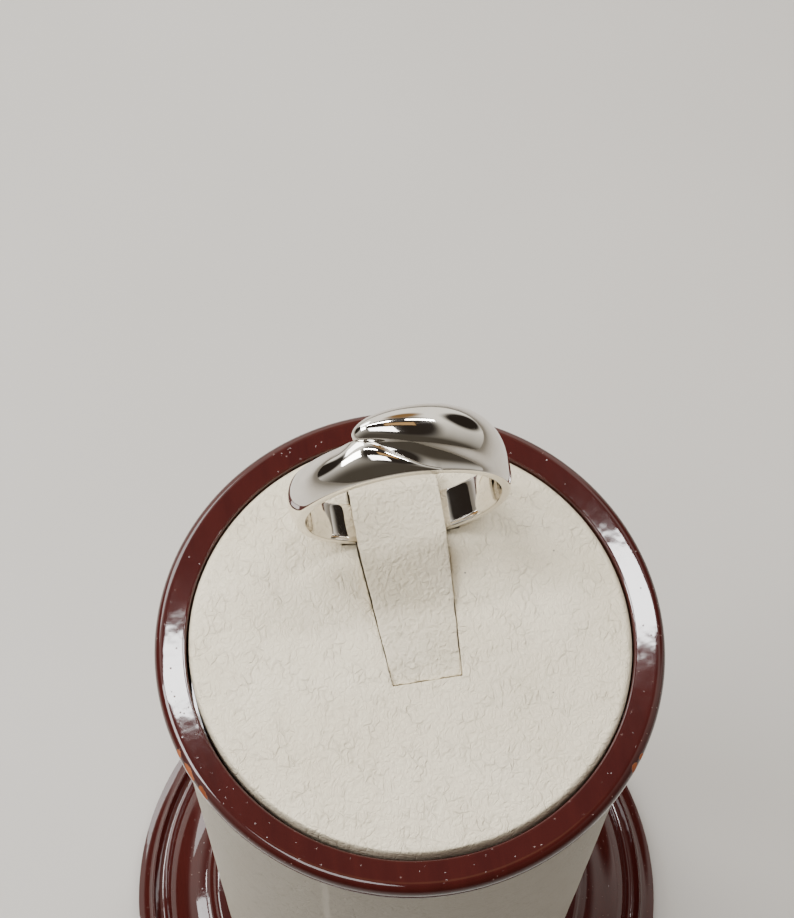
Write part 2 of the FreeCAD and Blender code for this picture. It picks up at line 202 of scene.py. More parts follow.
def grained_leatherette(name, pale, shade, crease_size, crease_depth, grain, grain_depth,
                        specks=True):
    """Polyurethane leatherette pressed with a hide grain: matt, with short creases and pebbles."""
    material, tree, surface, place = new_material(name, Roughness=0.56, IOR=1.5)
    clouds = add(tree, "TexNoise", {"Vector": place, "Scale": per_mm(7.0), "Detail": 4.0})
    colour = add(tree, "ValToRGB", {"Fac": clouds}, stops=((0.25, shade), (0.7, pale)))
    # Creases: the edges of uneven cells, bent and broken up so that no line runs far
    push = add(tree, "TexNoise", {"Vector": place, "Scale": per_mm(BEND_SIZE), "Detail": 2.0},
               output="Color")
    push = add(tree, "VectorMath", {0: push, 1: (0.5, 0.5, 0.5)}, operation="SUBTRACT")
    push = add(tree, "VectorMath", {0: push, "Scale": 2 * BEND_REACH * MM}, operation="SCALE")
    bent = add(tree, "VectorMath", {0: place, 1: push}, operation="ADD")
    drawn = add(tree, "Mapping", {"Vector": bent, "Rotation": (0, 0, 0.6),
                                  "Scale": (1.0, 0.6, 1.0)})
    edges = add(tree, "TexVoronoi", {"Vector": drawn, "Scale": per_mm(crease_size)},
                feature="DISTANCE_TO_EDGE", output="Distance")
    fine = add(tree, "TexVoronoi", {"Vector": drawn, "Scale": per_mm(crease_size * 0.45)},
               feature="DISTANCE_TO_EDGE", output="Distance")
    patches = add(tree, "TexNoise", {"Vector": place, "Scale": per_mm(2.1), "Detail": 2.0})
    kept = add(tree, "MapRange", {"Value": patches, "From Min": 0.40, "From Max": 0.62},
               interpolation_type="SMOOTHSTEP")
    creases = add(tree, "MapRange", {"Value": edges, "From Min": 0.0, "From Max": 0.16,
                                     "To Min": 1.0, "To Max": 0.0},
                  interpolation_type="SMOOTHSTEP")
    creases = add(tree, "Math", {0: creases, 1: kept}, operation="MULTIPLY")
    small = add(tree, "MapRange", {"Value": fine, "From Min": 0.0, "From Max": 0.2,
                                   "To Min": 1.0, "To Max": 0.0},
                interpolation_type="SMOOTHSTEP")
    small = add(tree, "Math", {0: small, 1: 0.35}, operation="MULTIPLY")
    sunk = add(tree, "Math", {0: creases, 1: small}, operation="MAXIMUM")
    swell = add(tree, "TexNoise", {"Vector": bent, "Scale": per_mm(1.3), "Detail": 3.0})
    pebbles = add(tree, "TexVoronoi", {"Vector": bent, "Scale": per_mm(grain)},
                  feature="SMOOTH_F1", output="Distance")
    pores = add(tree, "TexNoise", {"Vector": place, "Scale": per_mm(grain / 3), "Detail": 2.0})
    normal = add(tree, "Bump", {"Height": swell, "Distance": crease_depth * 1.1 * MM,
                                "Strength": 0.9})
    normal = add(tree, "Bump", {"Height": sunk, "Distance": -crease_depth * MM, "Strength": 0.9,
                                "Normal": normal})
    normal = add(tree, "Bump", {"Height": pebbles, "Distance": -grain_depth * MM,
                                "Strength": 0.9, "Normal": normal})
    normal = add(tree, "Bump", {"Height": pores, "Distance": grain_depth / 3 * MM,
                                "Strength": 0.7, "Normal": normal})
    # Painted shade: the creases are darkened in colour as well as sunk by the bump
    crease_painted_shade = add(tree, "Math", {0: sunk, 1: 0.2}, operation="MULTIPLY")
    colour = add(tree, "Mix", {"Factor": crease_painted_shade, FIRST: colour, SECOND: linear(PAINTED_CREASE_SHADE)},
                 output=MIX_COLOUR, data_type="RGBA")
    if specks:
        # Lint and grime: sparse dark specks a fifth of a millimetre across
        lint = add(tree, "TexVoronoi", {"Vector": place, "Scale": per_mm(3.4)}, feature="F1",
                   output="Distance")
        spotted = add(tree, "MapRange", {"Value": lint, "From Min": 0.018, "From Max": 0.04,
                                         "To Min": 0.75, "To Max": 0.0},
                      interpolation_type="SMOOTHSTEP")
        colour = add(tree, "Mix", {"Factor": spotted, FIRST: colour,
                                   SECOND: linear(LINT_SHADE)},
                     output=MIX_COLOUR, data_type="RGBA")
    sheen = add(tree, "MapRange", {"Value": pores, "From Min": 0.35, "From Max": 0.7,
                                   "To Min": 0.5, "To Max": 0.64},
                interpolation_type="SMOOTHSTEP")
    wired(tree, surface, Base_Color=colour, Normal=normal, Roughness=sheen)
    return material


NIB_SHADE = "#B98C7C"
BARE_WOOD = ("#7A3D24", "#B4704C")
CHIP_DEPTH = 0.12
CHIP_DROP = 0.55          # from the rim's top down to the middle of a chip
CHIP_WIDE = 0.45          # half-size of a chip across the edge
CHIP_TALL = 0.42

# Knocks on the rim's outer edge: degrees about Z, and millimetres along the edge
CHIPS = ((203.0, 2.6), (208.5, 1.6), (198.0, 0.9), (-41.0, 1.4), (-37.5, 0.7), (100.0, 0.8))


def chip_mask(tree, place):
    """1 where the lacquer is knocked off the rim's edge."""
    ragged = add(tree, "TexNoise", {"Vector": place, "Scale": per_mm(0.7), "Detail": 4.0})
    ragged = add(tree, "Math", {0: ragged, 1: 1.4}, operation="MULTIPLY")
    mask = None
    for angle, length in CHIPS:
        turn = math.radians(angle)
        edge_r = RIM_HIGH.x
        centre = Vector((edge_r * math.cos(turn), edge_r * math.sin(turn), RIM_TOP - CHIP_DROP))
        centred = add(tree, "Mapping", {"Vector": place, "Location": -centre * MM})
        stretched = add(tree, "Mapping", {
            "Vector": centred, "Rotation": (0, 0, -turn),
            "Scale": (per_mm(CHIP_WIDE), per_mm(length / 2), per_mm(CHIP_TALL))})
        away = add(tree, "VectorMath", {0: stretched}, operation="LENGTH", output="Value")
        reach = add(tree, "Math", {0: away, 1: ragged}, operation="ADD")
        spot = add(tree, "MapRange", {"Value": reach, "From Min": 1.6, "From Max": 1.7,
                                      "To Min": 1.0, "To Max": 0.0},
                   interpolation_type="SMOOTHSTEP")
        mask = spot if mask is None else add(tree, "Math", {0: mask, 1: spot},
                                             operation="MAXIMUM")
    return mask


def mahogany_lacquer(name, worn):
    """Mahogany-stained wood under sprayed lacquer: deep red-brown, wet gloss, faint orange peel."""
    settings = bpy.context.scene.stand_finish
    material, tree, surface, place = new_material(
        name, Roughness=0.5, Specular_IOR_Level=0.05, Coat_Weight=1.0, Coat_Roughness=0.05,
        Coat_IOR=1.55)
    drawn = add(tree, "Mapping", {"Vector": place, "Scale": (1.0, 0.16, 0.35)})
    grain = add(tree, "TexNoise", {"Vector": drawn, "Scale": per_mm(1.4), "Detail": 5.0,
                                   "Roughness": 0.6, "Distortion": 0.5})
    colour = add(tree, "ValToRGB", {"Fac": grain},
                 stops=((0.3, settings.lacquer_dark), (0.72, settings.lacquer)))
    peel = add(tree, "TexNoise", {"Vector": place, "Scale": per_mm(1.5), "Detail": 1.5})
    # Dust nibs dried into the lacquer, a tenth to a quarter of a millimetre across
    cells = add(tree, "TexVoronoi", {"Vector": place, "Scale": per_mm(0.75)}, feature="F1",
                output="Distance")
    nibs = add(tree, "MapRange", {"Value": cells, "From Min": 0.05, "From Max": 0.13,
                                  "To Min": 1.0, "To Max": 0.0},
               interpolation_type="SMOOTHSTEP")
    patches = add(tree, "TexNoise", {"Vector": place, "Scale": per_mm(2.0), "Detail": 3.0})
    dusty = add(tree, "MapRange", {"Value": patches, "From Min": 0.42, "From Max": 0.56},
                interpolation_type="SMOOTHSTEP")
    nibs = add(tree, "Math", {0: nibs, 1: dusty}, operation="MULTIPLY")
    pale = add(tree, "Math", {0: nibs, 1: 0.22}, operation="MULTIPLY")
    colour = add(tree, "Mix", {"Factor": pale, FIRST: colour, SECOND: linear(NIB_SHADE)},
                 output=MIX_COLOUR, data_type="RGBA")
    normal = add(tree, "Bump", {"Height": peel, "Distance": 0.02 * MM, "Strength": 0.35})
    normal = add(tree, "Bump", {"Height": nibs, "Distance": 0.03 * MM, "Strength": 0.9,
                                "Normal": normal})
    if worn:
        chips = chip_mask(tree, place)
        bare = add(tree, "ValToRGB", {"Fac": grain},
                   stops=((0.3, BARE_WOOD[0]), (0.7, BARE_WOOD[1])))
        colour = add(tree, "Mix", {"Factor": chips, FIRST: colour, SECOND: bare},
                     output=MIX_COLOUR, data_type="RGBA")
        normal = add(tree, "Bump", {"Height": chips, "Distance": -CHIP_DEPTH * MM,
                                    "Strength": 1.0, "Normal": normal})
        coat = add(tree, "Math", {0: 1.0, 1: chips}, operation="SUBTRACT")
        wired(tree, surface, Coat_Weight=coat)
    wired(tree, surface, Base_Color=colour, Normal=normal, Coat_Normal=normal)
    return material


def simple_finish(name, pale, shade, grain, depth, roughness, metallic=0.0):
    """Mottled colour and a fine bump, for pieces inside the stand."""
    material, tree, surface, place = new_material(name, Roughness=roughness, Metallic=metallic)
    mottle = add(tree, "TexNoise", {"Vector": place, "Scale": per_mm(grain), "Detail": 5.0})
    colour = add(tree, "ValToRGB", {"Fac": mottle}, stops=((0.3, shade), (0.7, pale)))
    normal = add(tree, "Bump", {"Height": mottle, "Distance": depth * MM, "Strength": 0.7})
    wired(tree, surface, Base_Color=colour, Normal=normal)
    return material


def turned_wood():
    """Bare beech, turned: pale, with fine rays drawn out along the grain."""
    material, tree, surface, place = new_material("turned_beech", Roughness=0.6)
    drawn = add(tree, "Mapping", {"Vector": place, "Scale": (1.0, 1.0, 0.12)})
    rays = add(tree, "TexNoise", {"Vector": drawn, "Scale": per_mm(0.9), "Detail": 6.0,
                                  "Distortion": 0.4})
    colour = add(tree, "ValToRGB", {"Fac": rays}, stops=((0.3, "#9C7448"), (0.7, "#D2AC7A")))
    normal = add(tree, "Bump", {"Height": rays, "Distance": 0.03 * MM, "Strength": 0.6})
    wired(tree, surface, Base_Color=colour, Normal=normal)
    return material


def felted_wool():
    """Pressed felt: tangled fibres that catch light at the edges."""
    material, tree, surface, place = new_material(
        "black_felt", Roughness=0.95, Sheen_Weight=0.35, Sheen_Roughness=0.5)
    fibres = add(tree, "TexNoise", {"Vector": place, "Scale": per_mm(0.5), "Detail": 8.0,
                                    "Roughness": 0.7, "Distortion": 2.5})
    colour = add(tree, "ValToRGB", {"Fac": fibres}, stops=((0.3, "#0E0D0D"), (0.75, "#302D2C")))
    normal = add(tree, "Bump", {"Height": fibres, "Distance": 0.25 * MM, "Strength": 0.9})
    wired(tree, surface, Base_Color=colour, Normal=normal)
    return material


def backdrop_paper():
    """Matt warm-grey paper with the faintest mottle."""
    material, tree, surface, place = new_material("backdrop_paper", Roughness=0.85)
    mottle = add(tree, "TexNoise", {"Vector": place, "Scale": per_mm(90.0), "Detail": 3.0})
    colour = add(tree, "ValToRGB", {"Fac": mottle}, stops=((0.3, "#C9C5BF"), (0.7, "#D0CCC6")))
    wired(tree, surface, Base_Color=colour)
    return material


# ------------------------------------------------------------------ mesh helpers

def placed(mesh_data, name, body, material, smooth_angle=None):
    """Makes an object in metres from a bmesh in millimetres, riding on a body if one is named."""
    bmesh.ops.scale(mesh_data, vec=(MM, MM, MM), verts=mesh_data.verts)
    mesh = bpy.data.meshes.new(name)
    mesh_data.to_mesh(mesh)
    mesh_data.free()
    mesh.materials.append(material)
    mesh.polygons.foreach_set("use_smooth", [True] * len(mesh.polygons))
    if smooth_angle is not None:
        mesh.set_sharp_from_angle(angle=math.radians(smooth_angle))
    piece = bpy.data.objects.new(name, mesh)
    bpy.context.scene.collection.objects.link(piece)
    if body is not None:
        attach(piece, body)
    return piece


def profile_points(mesh_data, points):
    """Chain of vertices and edges in the XZ plane from (radius, height) points."""
    verts = [mesh_data.verts.new((r, 0, z)) for r, z in points]
    for a, b in zip(verts, verts[1:]):
        mesh_data.edges.new((a, b))
    return verts


def rounded(mesh_data, verts, radius, segments):
    """Rounds corners of a profile."""
    bmesh.ops.bevel(mesh_data, geom=verts, offset=radius, offset_type="OFFSET",
                    segments=segments, profile=0.5, affect="VERTICES", material=-1)


def spun(mesh_data, steps):
    """Turns the profile about Z into a closed piece."""
    geometry = mesh_data.verts[:] + mesh_data.edges[:]
    bmesh.ops.spin(mesh_data, geom=geometry, cent=(0, 0, 0), axis=(0, 0, 1), dvec=(0, 0, 0),
                   angle=2 * math.pi, steps=steps, use_merge=True, use_duplicate=False)
    bmesh.ops.remove_doubles(mesh_data, verts=mesh_data.verts, dist=0.0005)
    bmesh.ops.recalc_face_normals(mesh_data, faces=mesh_data.faces)


def arc_points(start, end, bulge, count):
    """Points after start up to end, on a curve that bows out by bulge to the left of the way."""
    a, b = Vector(start), Vector(end)
    side = Vector((a.y - b.y, b.x - a.x)).normalized() * bulge
    fractions = [(step + 1) / count for step in range(count)]
    return [tuple(a.lerp(b, t) + side * 4 * t * (1 - t)) for t in fractions]


# ------------------------------------------------------------------ settings

class RingSettings(bpy.types.PropertyGroup):
    """Sizes of the ring"""
    bore: bpy.props.FloatProperty(
        name="Bore", description="Inside diameter of the ring", default=18.1 * MM, unit="LENGTH")
    band_width: bpy.props.FloatProperty(
        name="Band width", description="Width of the plain part of the band",
        default=3.9 * MM, unit="LENGTH")
    band_thickness: bpy.props.FloatProperty(
        name="Band thickness", description="Thickness of the plain band at its middle",
        default=1.3 * MM, unit="LENGTH")
    lobe_swell: bpy.props.FloatProperty(
        name="Lobe swell", description="How far the rear lobe stands out behind the band",
        default=2.2 * MM, unit="LENGTH")


class RingFinish(bpy.types.PropertyGroup):
    """Colours of the ring"""
    silver: bpy.props.FloatVectorProperty(
        name="Silver", description="Colour of the polished metal",
        default=linear("#F6F3EE"), size=4, min=0.0, max=1.0, subtype="COLOR")
    silver_shade: bpy.props.FloatVectorProperty(
        name="Silver, toned", description="Colour where the silver has started to tone",
        default=linear("#E9E3D8"), size=4, min=0.0, max=1.0, subtype="COLOR")


class StandSettings(bpy.types.PropertyGroup):
    """Sizes of the stand's leatherette"""
    pad_crown: bpy.props.FloatProperty(
        name="Pad crown", description="Height of the pad's centre above the rim",
        default=0.6 * MM, unit="LENGTH")
    skin: bpy.props.FloatProperty(
        name="Leatherette", description="Thickness of the leatherette",
        default=0.7 * MM, unit="LENGTH")
    flap: bpy.props.FloatProperty(
        name="Tongue thickness", description="Thickness of the tongue's leatherette",
        default=0.8 * MM, unit="LENGTH")


class StandFinish(bpy.types.PropertyGroup):
    """Colours of the stand"""
    leatherette: bpy.props.FloatVectorProperty(
        name="Leatherette", description="Colour of the pad",
        default=linear("#EBE0C7"), size=4, min=0.0, max=1.0, subtype="COLOR")
    leatherette_shade: bpy.props.FloatVectorProperty(
        name="Leatherette, shaded", description="Colour of the pad's darker clouds",
        default=linear("#E1D5BA"), size=4, min=0.0, max=1.0, subtype="COLOR")
    # The column's colour is the pad's white leatherette painted darker: painted shade for the rim's
    # shadow over the column
    column: bpy.props.FloatVectorProperty(
        name="Column", description="Colour of the column's leatherette",
        default=linear("#A9A294"), size=4, min=0.0, max=1.0, subtype="COLOR")
    tongue: bpy.props.FloatVectorProperty(
        name="Tongue", description="Colour of the tongue",
        default=linear("#E4D9C1"), size=4, min=0.0, max=1.0, subtype="COLOR")
    tongue_shade: bpy.props.FloatVectorProperty(
        name="Tongue, shaded", description="Colour of the tongue's darker clouds",
        default=linear("#D9CDB2"), size=4, min=0.0, max=1.0, subtype="COLOR")
    lacquer: bpy.props.FloatVectorProperty(
        name="Lacquer", description="Colour of the lacquered wood",
        default=linear("#40130F"), size=4, min=0.0, max=1.0, subtype="COLOR")
    lacquer_dark: bpy.props.FloatVectorProperty(
        name="Lacquer, dark grain", description="Colour of the wood's darker grain",
        default=linear("#370E0B"), size=4, min=0.0, max=1.0, subtype="COLOR")


# ------------------------------------------------------------------ ring

EDGE_R = 9.85             # radius of the band's outer edges
FAR_TIP = -23.0           # degrees from the top where the rear lobe ends
NEAR_TIP = 19.0           # degrees from the top where the front lobe ends
SWEEP = 360.0 + NEAR_TIP - FAR_TIP
SWEEP_STEPS = 76
DOME_POWER = 0.8          # under 1, a dome is fuller than a half sine
LIP = 0.1                 # how far the band's outer edges turn in
CORNER = 0.14             # rounding of the bore's two edges
FRONT_SWELL = 0.72        # added to the dome of the front lobe
FRONT_LIFT = 0.22         # added to its edges
FRONT_HIDDEN = 0.30       # share of its dome that lies under the rear lobe
REAR_RIDGE = 1.62         # the rear lobe's ridge and dome, above EDGE_R
REAR_DOME = 2.12
REAR_LIFT = 0.16
REAR_BURY = 0.12          # how far the rear lobe's foot sinks into the front lobe
TABLE_SWELL = 2.2         # lobe swell that FAR_SIDE gives


def through(stops, value):
    """Value read from a smooth curve through (place, value) stops."""
    value = min(max(value, stops[0][0]), stops[-1][0])
    index = max(i for i in range(len(stops) - 1) if stops[i][0] <= value or i == 0)

    def slope(at):
        before, after = stops[max(0, at - 1)], stops[min(len(stops) - 1, at + 1)]
        return (after[1] - before[1]) / (after[0] - before[0])

    (a, first), (b, second) = stops[index], stops[index + 1]
    t = (value - a) / (b - a)
    start, end = slope(index) * (b - a), slope(index + 1) * (b - a)
    return (first * (1 + 2 * t) * (1 - t) ** 2 + start * t * (1 - t) ** 2
            + second * t * t * (3 - 2 * t) - end * t * t * (1 - t))


# By degrees from the top: width of the front lobe, and the rear lobe's ridge and far side
NEAR_WIDTH = ((-30, 3.9), (-23, 3.85), (-14, 3.2), (-8, 2.42), (-2, 1.6), (5, 0.85), (12, 0.4),
              (19, 0.2))
RIDGE = ((-23, 3.92), (-21.5, 3.66), (-18, 3.45), (-12, 3.22), (-1, 2.75), (15, 2.05), (31, 1.4),
         (46, 0.85), (62, 0.45), (80, 0.3))
FAR_SIDE = ((-23, 4.5), (-21.5, 4.95), (-18, 5.4), (-11, 5.85), (0, 6.15), (23, 6.2), (39, 5.75),
            (53, 5.0), (68, 4.3), (84, 3.95), (100, 3.9))
FRACTIONS = (0.0, 0.02, 0.08, 0.18, 0.32, 0.5, 0.68, 0.82, 0.92, 0.98, 1.0)

# Degrees swept by share of the steps: close together at both tips, wide round the plain band
PACE = ((0, 0), (0.04, 1.0), (0.12, 6), (0.40, 62), (0.52, 125), (0.63, 255), (0.71, 318),
        (0.95, 390), (1, SWEEP))


def dome(share):
    """Height of a dome of height 1 at a share of its width."""
    return max(0.0, math.sin(math.pi * share)) ** DOME_POWER


def crown(width, rise, edge_r, cut=0.0):
    """Eleven points over a domed band. The dome stops short of its far side by the share cut."""
    points = []
    for fraction in FRACTIONS:
        radius = edge_r + rise * dome(fraction * (1 - cut))
        points.append((width * fraction, radius - (LIP if fraction == 0 else 0.0)))
    # The far side ends in a lip, or where the dome is cut, in a step a quarter of a millimetre deep
    stepped = mixed(edge_r - LIP, points[-1][1] - 0.25, min(1.0, cut * 4))
    points[-1] = (width, max(edge_r - LIP, stepped))
    return points


def front_rise(angle, plain_rise):
    """Height of the front lobe's dome above its edges."""
    rise = plain_rise + FRONT_SWELL * eased(angle, -108, -35)
    return rise * max(0.0, 1 - eased(angle, -20, NEAR_TIP)) ** DOME_POWER


def front_cut(angle):
    """Share of the front lobe's dome that the rear lobe hides."""
    return FRONT_HIDDEN * eased(angle, -34, -16)


def front_outline(angle, plain_width, plain_rise):
    """Outer line of the front lobe, which swells over the shoulder and thins to a point."""
    width = through(NEAR_WIDTH, angle) if angle > NEAR_WIDTH[0][0] else plain_width
    edge_r = EDGE_R + FRONT_LIFT * eased(angle, -60, -20)
    return crown(width, front_rise(angle, plain_rise), edge_r, front_cut(angle))


def rear_outline(angle, plain_width, plain_rise, swell):
    """Near side and outer line of the rear lobe: blunt tip, ridge, and a hollow flank below it."""
    tip = math.sqrt(min(1.0, (angle - FAR_TIP + 0.5) / 7.5))
    fade = 1 - eased(angle, 42, 104)
    far = through(FAR_SIDE, angle) + (swell - TABLE_SWELL) * fade * tip
    ridge = through(RIDGE, angle)
    low = 0.03 * fade
    edge_r = EDGE_R + REAR_LIFT * fade
    foot_r = edge_r + 0.02
    if angle < NEAR_TIP:
        # The foot of the flank follows the front lobe and sinks a little into it
        low = min(max(low, through(NEAR_WIDTH, angle) - 0.3), ridge - 0.02)
        buried = dome(1 - front_cut(angle)) * front_rise(angle, plain_rise)
        foot_r = max(foot_r, EDGE_R + FRONT_LIFT + buried - REAR_BURY)
    ridge_r = mixed(foot_r, EDGE_R + REAR_RIDGE, tip * (1 - eased(angle, 22, 66)))
    dome_r = mixed(foot_r, EDGE_R + REAR_DOME, tip * (1 - eased(angle, 30, 92))) + 0.04
    across = far - ridge
    shaped = [
        # Up the hollow flank to the ridge
        (low, foot_r - 0.12),
        (low + 0.02, foot_r),
        (mixed(low, ridge, 0.42), mixed(foot_r, ridge_r, 0.07)),
        (mixed(low, ridge, 0.80), mixed(foot_r, ridge_r, 0.42)),
        (ridge - 0.02, mixed(foot_r, ridge_r, 0.90)),
        # Over the dome and down to the far edge
        (ridge + across * 0.07, mixed(ridge_r, dome_r, 0.3)),
        (ridge + across * 0.36, mixed(ridge_r, dome_r, 0.9)),
        (ridge + across * 0.66, mixed(edge_r, dome_r, 0.93)),
        (ridge + across * 0.92, mixed(edge_r, dome_r, 0.58)),
        (far - 0.02, mixed(edge_r, dome_r, 0.16)),
        (far, edge_r - LIP)]
    plain = crown(mixed(plain_width, far, fade), plain_rise, edge_r)
    return low, [(mixed(p[0], q[0], fade), mixed(p[1], q[1], fade))
                 for p, q in zip(plain, shaped)]


def ring_section(turn, settings):
    """Closed loop of points (across, radius) at degrees swept from the rear lobe's tip."""
    angle = FAR_TIP + turn
    bore_r = in_mm(settings.bore) / 2
    plain_width = in_mm(settings.band_width)
    plain_rise = bore_r + in_mm(settings.band_thickness) - EDGE_R
    if angle > 180:
        low, outside = 0.0, front_outline(angle - 360, plain_width, plain_rise)
    else:
        low, outside = rear_outline(angle, plain_width, plain_rise, in_mm(settings.lobe_swell))
    width = outside[-1][0]
    span = width - low
    corner = min(CORNER, span * 0.2)
    inside = [(width, bore_r + corner), (width - corner, bore_r), (low + span * 0.66, bore_r),
              (low + span * 0.33, bore_r), (low + corner, bore_r), (low, bore_r + corner)]
    return outside + inside


class RINGSTAND_OT_ring(bpy.types.Operator):
    """Sweeps a band round more than a full turn, so that its swollen ends pass each other"""
    bl_idname = "ringstand.ring"
    bl_label = "Silver ring"

    def execute(self, context):
        settings = context.scene.ring_sizes
        mesh_data = bmesh.new()
        line = mesh_data.verts.layers.int.new("line")
        verts = []
        quarter_turn = 90.0
        for index, (across, radius) in enumerate(ring_section(quarter_turn, settings)):
            vert = mesh_data.verts.new((0, across, radius))
            vert[line] = index
            verts.append(vert)
        for a, b in zip(verts, verts[1:] + verts[:1]):
            mesh_data.edges.new((a, b))
        geometry = mesh_data.verts[:] + mesh_data.edges[:]
        bmesh.ops.spin(mesh_data, geom=geometry, cent=(0, 0, 0), axis=(0, 1, 0), dvec=(0, 0, 0),
                       angle=math.radians(SWEEP), steps=SWEEP_STEPS, use_merge=False,
                       use_duplicate=False)
        mesh_data.verts.ensure_lookup_table()
        mesh_data.verts.index_update()
        step = 1 / SWEEP_STEPS
        for vert in mesh_data.verts:
            share = (vert.index // len(verts)) / SWEEP_STEPS
            turn = through(PACE, share)
            across, radius = ring_section(turn, settings)[vert[line]]
            # Subdivision draws a coarse circle in, so wide steps start a little further out
            step_angle = math.radians(through(PACE, share + step) - through(PACE, share - step)) / 2
            radius *= 3 / (2 + math.cos(step_angle))
            place = math.radians(FAR_TIP + turn)
            vert.co = (radius * math.sin(place), across, radius * math.cos(place))
        ends = [edge for edge in mesh_data.edges if edge.is_boundary]
        bmesh.ops.holes_fill(mesh_data, edges=ends, sides=0)
        bmesh.ops.recalc_face_normals(mesh_data, faces=mesh_data.faces)
        seat = Matrix.Translation(RING_CENTRE) @ Matrix.Rotation(LEAN, 4, "X")
        bmesh.ops.transform(mesh_data, matrix=seat, verts=mesh_data.verts)
        ring = placed(mesh_data, "bypass_ring", "ring", polished_silver())
        smooth = ring.modifiers.new("polish", "SUBSURF")
        smooth.levels = 3
        smooth.render_levels = 3
        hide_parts("silver_ring")
        return {"FINISHED"}


# ------------------------------------------------------------------ pad and tongue

PAD_R = PAD_HIGH.x
SHOULDER_R = 20.2         # where the pad's top turns over into its side
SHOULDER_DROP = 0.55      # how far the crown falls by there
EDGE_DROP = 0.8           # height of the rounded edge
EDGE_STEPS = 7
UNDER_REACH = 3.5         # width of the skin turned under the board
PRESSED = 0.3             # how far the ring presses the pad down
PUCKER = 0.10             # unevenness along the cuts
WINDOW_TIP = 3.3          # half-width of the window at the tongue's free end
WINDOW_WIDE = 4.35        # half-width from the ring to the fold
WINDOW_NEAR_Y = TONGUE_LOW.y - 0.2
TAPER_END_Y = 9.0
SLOT_HALF = 5.7           # half-width and two sides of the slot that the ring stands in
SLOT_Y = (10.2, 14.4)


def wobble(x, y, size, seed):
    """Smooth noise between about -1 and 1."""
    return noise.noise(Vector((x / size, y / size, seed)))


def pad_height(x, y, crown):
    """Height of the pad's surface above the rim, pressed beside the ring, puckered at the cuts."""
    radius = math.hypot(x, y)
    height = crown - SHOULDER_DROP * (radius / SHOULDER_R) ** 2
    aside = abs(x - TONGUE_X)
    pressed = (1 - eased(aside, 4.5, 7.2)) * eased(y, 7.0, 9.9) * (1 - eased(y, 14.6, 17.0))
    height -= PRESSED * pressed
    cut = 1 - eased(abs(aside - window_half(y)), 0.1, 1.6)
    along = eased(y, WINDOW_NEAR_Y - 1.0, WINDOW_NEAR_Y + 1.0) * (1 - eased(y, 16.0, 18.0))
    height += PUCKER * cut * along * wobble(x, y, 2.3, 4.0)
    height += 0.09 * wobble(x, y, 7.5, 1.0) + 0.04 * wobble(x, y, 2.6, 2.0)
    return height


def window_half(y):
    """Half-width of the tongue's window at a place along it."""
    share = (y - WINDOW_NEAR_Y) / (TAPER_END_Y - WINDOW_NEAR_Y)
    return mixed(WINDOW_TIP, WINDOW_WIDE, min(1.0, max(0.0, share)))


def in_window(x, y):
    """True where the tongue's window or the ring's slot is cut away."""
    aside = abs(x - TONGUE_X)
    in_slot = aside < SLOT_HALF and SLOT_Y[0] < y < SLOT_Y[1]
    return in_slot or (WINDOW_NEAR_Y < y < FOLD.y and aside < window_half(y))


def cut_lines():
    """Point and normal of each upright plane that bounds the window and the slot."""
    lines = [((0, WINDOW_NEAR_Y), (0, 1)), ((0, FOLD.y), (0, 1)), ((0, SLOT_Y[0]), (0, 1)),
             ((0, SLOT_Y[1]), (0, 1))]
    slant = (WINDOW_WIDE - WINDOW_TIP) / (TAPER_END_Y - WINDOW_NEAR_Y)
    for side in (-1, 1):
        lines.append(((TONGUE_X + side * WINDOW_TIP, WINDOW_NEAR_Y), (1, -side * slant)))
        lines.append(((TONGUE_X + side * WINDOW_WIDE, 0), (1, 0)))
        lines.append(((TONGUE_X + side * SLOT_HALF, 0), (1, 0)))
    return lines


